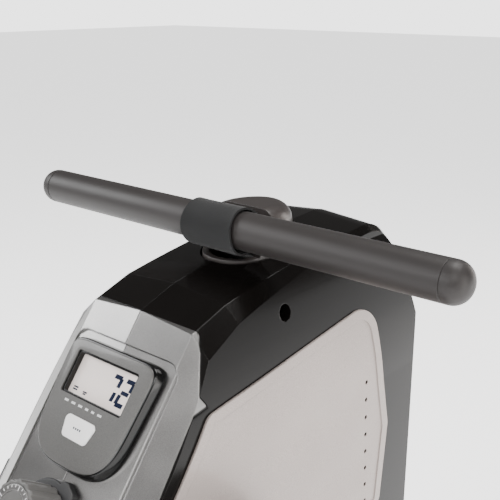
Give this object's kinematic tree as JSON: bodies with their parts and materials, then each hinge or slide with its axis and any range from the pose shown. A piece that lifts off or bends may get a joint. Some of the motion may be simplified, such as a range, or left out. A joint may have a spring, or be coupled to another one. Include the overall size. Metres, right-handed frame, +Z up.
{
  "type": "rowing machine",
  "caption": "Folding home rowing machine with a flywheel housing, sloped console, strap-pulled handlebar, tilting pedals and a sliding seat on a rail.",
  "frame": {"origin": "on the floor under the middle of the machine's bounding box", "axes": "+Y from the seat towards the flywheel housing, +X the rower's right, +Z up"},
  "size_m": [0.462, 1.866, 0.5782],
  "materials": {
    "shell": "gloss",
    "panel": "satin",
    "surround": "satin",
    "console_black": "gloss",
    "console_face": "satin",
    "lcd": "satin",
    "board": "satin",
    "button": "satin",
    "black_plastic": "matte",
    "knob": "satin",
    "guide": "satin",
    "steel": "brushed",
    "grip": "satin",
    "webbing": "woven",
    "iron": "machined",
    "rubber": "matte",
    "paint": "satin",
    "aluminium": "anodised",
    "magnet": "plated",
    "vinyl": "soft"
  },
  "bodies": {
    "frame": {"shell_right": "shell", "shell_left": "shell", "side_panels": "panel", "surround_right": "surround", "surround_left": "surround", "console_body": "console_black", "console_face": "console_face", "lcd_panel": "lcd", "electronics": "board", "knob_base": "black_plastic", "cable_winder": "black_plastic", "brake_cable": "rubber", "cable_stop": "steel", "strap_guide": "guide", "strap_stub": "webbing", "strap_run": "webbing", "spring_case": "black_plastic", "drive_belt": "rubber", "frame_axles": "steel", "main_frame": "paint", "frame_plates": "paint", "front_foot": "paint", "front_foot_caps": "rubber", "fold_bracket": "paint", "hinge_pin": "steel", "pedal_shaft": "steel", "shell_screws": "steel"},
    "handle": {"bar_core": "steel", "grips": "grip", "bar_caps": "grip", "strap_loop": "webbing"},
    "guide_roller": {"guide_roller": "steel"},
    "drum": {"strap_turns": "webbing", "strap_drum": "black_plastic", "drive_pulley": "black_plastic", "drum_shaft": "steel"},
    "clutch": {"clutch_pulley": "steel"},
    "flywheel": {"flywheel": "iron"},
    "mode_button": {"mode_button": "button"},
    "knob": {"tension_knob": "knob"},
    "brake_arm": {"brake_arm": "steel", "brake_magnets": "magnet"},
    "pedal_right": {"pedal_right": "black_plastic", "toe_strap_right": "webbing"},
    "pedal_left": {"pedal_left": "black_plastic", "toe_strap_left": "webbing"},
    "wheel_right": {"transport_wheel_right": "rubber"},
    "wheel_left": {"transport_wheel_left": "rubber"},
    "rail": {"rail": "aluminium", "rail_stops": "black_plastic", "rear_foot": "paint", "rear_foot_caps": "rubber"},
    "lock_knob": {"lock_knob": "black_plastic"},
    "seat": {"carriage": "paint", "carriage_axles": "steel", "low_guides": "black_plastic", "seat_base": "black_plastic", "seat_cushion": "vinyl"},
    "rollers_front": {"top_rollers_front": "black_plastic"},
    "rollers_rear": {"top_rollers_rear": "black_plastic"}
  },
  "joints": [
    {"name": "handle_pull", "type": "slide", "parent": "frame", "child": "handle", "axis": [0, -1, 0], "range_m": [0, 1.15], "deforming": ["strap_stub"]},
    {"name": "guide_spin", "type": "hinge", "parent": "frame", "child": "guide_roller", "pos_m": [0, 0.735, 0.528], "axis": [1, 0, 0], "range_deg": [0, 7959]},
    {"name": "drum_turn", "type": "hinge", "parent": "frame", "child": "drum", "pos_m": [0, 0.669, 0.418], "axis": [1, 0, 0], "range_deg": [0, 1801]},
    {"name": "clutch_turn", "type": "hinge", "parent": "frame", "child": "clutch", "pos_m": [0, 0.79, 0.262], "axis": [1, 0, 0], "range_deg": [0, 8054]},
    {"name": "flywheel_spin", "type": "hinge", "parent": "frame", "child": "flywheel", "pos_m": [0, 0.79, 0.262], "axis": [1, 0, 0], "continuous": true},
    {"name": "mode_press", "type": "slide", "parent": "frame", "child": "mode_button", "axis": [0, 0.7965, -0.6046], "range_m": [0, 0.0008], "stiffness_N_per_m": 900},
    {"name": "tension_turn", "type": "hinge", "parent": "frame", "child": "knob", "pos_m": [0, 0.51703, 0.37598], "axis": [0, -0.7965, 0.6046], "range_deg": [0, 280]},
    {"name": "brake_swing", "type": "hinge", "parent": "frame", "child": "brake_arm", "pos_m": [0, 0.675, 0.182], "axis": [1, 0, 0], "range_deg": [0, 8]},
    {"name": "pedal_tilt_right", "type": "hinge", "parent": "frame", "child": "pedal_right", "pos_m": [0.148, 0.596, 0.215], "axis": [1, 0, 0], "range_deg": [-18, 12]},
    {"name": "pedal_tilt_left", "type": "hinge", "parent": "frame", "child": "pedal_left", "pos_m": [-0.148, 0.596, 0.215], "axis": [1, 0, 0], "range_deg": [-18, 12]},
    {"name": "transport_spin_right", "type": "hinge", "parent": "frame", "child": "wheel_right", "pos_m": [0.166, 0.912, 0.029], "axis": [1, 0, 0], "continuous": true},
    {"name": "transport_spin_left", "type": "hinge", "parent": "frame", "child": "wheel_left", "pos_m": [-0.166, 0.912, 0.029], "axis": [1, 0, 0], "continuous": true},
    {"name": "rail_fold", "type": "hinge", "parent": "frame", "child": "rail", "pos_m": [0, 0.34, 0.166], "axis": [-1, 0, 0], "range_deg": [0, 80]},
    {"name": "lock_turn", "type": "hinge", "parent": "frame", "child": "lock_knob", "pos_m": [0.055, 0.362, 0.178], "axis": [1, 0, 0], "range_deg": [0, 720]},
    {"name": "seat_slide", "type": "slide", "parent": "rail", "child": "seat", "axis": [0, 1, 0], "range_m": [-0.62, 0.35]},
    {"name": "roller_front_spin", "type": "hinge", "parent": "seat", "child": "rollers_front", "pos_m": [0, -0.085, 0.2333], "axis": [-1, 0, 0], "range_deg": [-1994, 1134]},
    {"name": "roller_rear_spin", "type": "hinge", "parent": "seat", "child": "rollers_rear", "pos_m": [0, -0.215, 0.2333], "axis": [-1, 0, 0], "range_deg": [-1994, 1134]}
  ],
  "couplings": [
    {"joint": "guide_spin", "follows": "handle_pull", "rad_per_m": 120.48},
    {"joint": "drum_turn", "follows": "handle_pull", "rad_per_m": 27.027},
    {"joint": "clutch_turn", "follows": "handle_pull", "rad_per_m": 121.62},
    {"joint": "brake_swing", "follows": "tension_turn", "ratio": 0.028571},
    {"joint": "roller_front_spin", "follows": "seat_slide", "rad_per_m": 55.556},
    {"joint": "roller_rear_spin", "follows": "seat_slide", "rad_per_m": 55.556}
  ]
}
